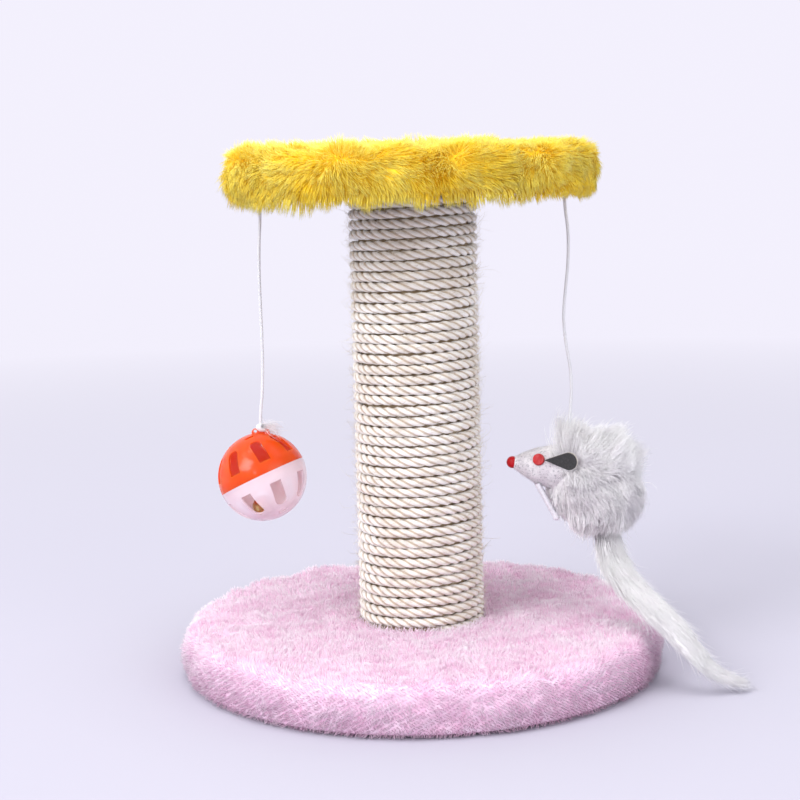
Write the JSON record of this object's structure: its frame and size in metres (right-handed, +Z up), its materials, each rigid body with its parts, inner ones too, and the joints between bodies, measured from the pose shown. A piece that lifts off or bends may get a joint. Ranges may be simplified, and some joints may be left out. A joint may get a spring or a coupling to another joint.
{
  "type": "small cat climbing frame",
  "caption": "Low cat climbing frame: a round plush base, a rope-wound post, a round plush platform, and a rattle ball and a toy mouse hanging on elastic strings.",
  "frame": {"origin": "centre of the base's flat underside, on the floor", "axes": "+Z up along the post, +X from the rattle ball to the toy mouse, -Y to the front"},
  "size_m": [0.2722, 0.24, 0.258],
  "materials": {
    "board": "matt particle board with a sealed edge",
    "plug": "turned softwood",
    "tube": "wound brown paper board",
    "base_plush": "short dense pile, soft and matt",
    "platform_plush": "long soft pile with a slight sheen",
    "lining": "thin pressed felt",
    "staple_wire": "galvanised wire",
    "zinc_steel": "bright zinc plate",
    "sisal": "bleached plant fibre, matt and hairy",
    "elastic_string": "smooth braided cover over elastic",
    "shell_orange": "glossy moulded",
    "shell_clear": "glossy, milky and see-through",
    "bell_brass": "bright plated",
    "mouse_plastic": "moulded, hidden under the fur",
    "mouse_fur": "long loose fur",
    "tail_fur": "long fur strip",
    "mouse_flock": "short flock with grey specks",
    "red_bead": "glossy",
    "ear_felt": "black felt",
    "leg_plastic": "soft moulded"
  },
  "bodies": {
    "stand": {"base_board": "board", "base_plush": "base_plush", "base_lining": "lining", "base_staples": "staple_wire", "base_washer": "zinc_steel", "base_bolt": "zinc_steel", "lower_plug": "plug", "tee_nut": "zinc_steel", "lower_plug_nails": "zinc_steel", "post_tube": "tube", "upper_plug": "plug", "upper_plug_nails": "zinc_steel", "sisal_rope_lower": "sisal", "sisal_rope_upper": "sisal", "rope_end_staples": "staple_wire", "platform_board": "board", "platform_screws": "zinc_steel", "platform_plush": "platform_plush", "platform_lining": "lining", "platform_staples": "staple_wire", "string_hooks": "staple_wire"},
    "ball_loop": {"ball_string_loop": "elastic_string"},
    "ball_top_knot": {"ball_string_top_knot": "elastic_string"},
    "ball_cord": {"ball_string": "elastic_string"},
    "ball": {"ball_string_knot": "elastic_string", "ball_upper_shell": "shell_orange", "ball_lower_shell": "shell_clear"},
    "bell": {"ball_bell": "bell_brass"},
    "pellet": {"bell_pellet": "zinc_steel"},
    "mouse_loop": {"mouse_string_loop": "elastic_string"},
    "mouse_top_knot": {"mouse_string_top_knot": "elastic_string"},
    "mouse_cord": {"mouse_string": "elastic_string"},
    "mouse": {"mouse_string_knot": "elastic_string", "mouse_core": "mouse_plastic", "mouse_fur": "mouse_fur", "mouse_head": "mouse_flock", "mouse_nose": "red_bead", "mouse_eye_left": "red_bead", "mouse_eye_right": "red_bead", "mouse_ear_left": "ear_felt", "mouse_ear_right": "ear_felt", "mouse_front_leg_left": "leg_plastic", "mouse_front_leg_right": "leg_plastic", "mouse_rear_leg_left": "leg_plastic", "mouse_rear_leg_right": "leg_plastic", "mouse_tail_plug": "mouse_plastic", "mouse_tail": "tail_fur"}
  },
  "joints": [
    {"name": "ball_swing_side", "type": "hinge", "parent": "stand", "child": "ball_loop", "pos_m": [-0.074, 0, 0.2348], "axis": [1, 0, 0], "range_deg": [-55, 55]},
    {"name": "ball_swing_out", "type": "hinge", "parent": "ball_loop", "child": "ball_top_knot", "pos_m": [-0.074, 0, 0.2317], "axis": [0, 1, 0], "range_deg": [-7.5, 55]},
    {"name": "ball_spin", "type": "hinge", "parent": "ball_top_knot", "child": "ball_cord", "pos_m": [-0.074, 0, 0.2302], "axis": [0, 0, 1], "range_deg": [-180, 180]},
    {"name": "ball_stretch", "type": "slide", "parent": "ball_cord", "child": "ball", "axis": [0, 0, -1], "range_m": [0, 0.045], "stiffness_N_per_m": 30, "springref_m": -0.0028, "deforming": ["ball_string"]},
    {"name": "bell_roll", "type": "hinge", "parent": "ball", "child": "bell", "pos_m": [-0.0776, 0, 0.0964], "axis": [0, 1, 0], "range_deg": [-38, 38]},
    {"name": "pellet_roll", "type": "hinge", "parent": "bell", "child": "pellet", "pos_m": [-0.0776, 0, 0.0814], "axis": [1, 0, 0], "range_deg": [-60, 60]},
    {"name": "mouse_swing_side", "type": "hinge", "parent": "stand", "child": "mouse_loop", "pos_m": [0.074, 0, 0.2348], "axis": [1, 0, 0], "range_deg": [-55, 55]},
    {"name": "mouse_swing_out", "type": "hinge", "parent": "mouse_loop", "child": "mouse_top_knot", "pos_m": [0.074, 0, 0.2317], "axis": [0, 1, 0], "range_deg": [-55, 0.2]},
    {"name": "mouse_spin", "type": "hinge", "parent": "mouse_top_knot", "child": "mouse_cord", "pos_m": [0.074, 0, 0.2302], "axis": [0, 0, 1], "range_deg": [-5, 70]},
    {"name": "mouse_stretch", "type": "slide", "parent": "mouse_cord", "child": "mouse", "axis": [0, 0, -1], "range_m": [0, 0.02], "stiffness_N_per_m": 30, "springref_m": -0.0067, "deforming": ["mouse_string", "mouse_tail"]}
  ]
}
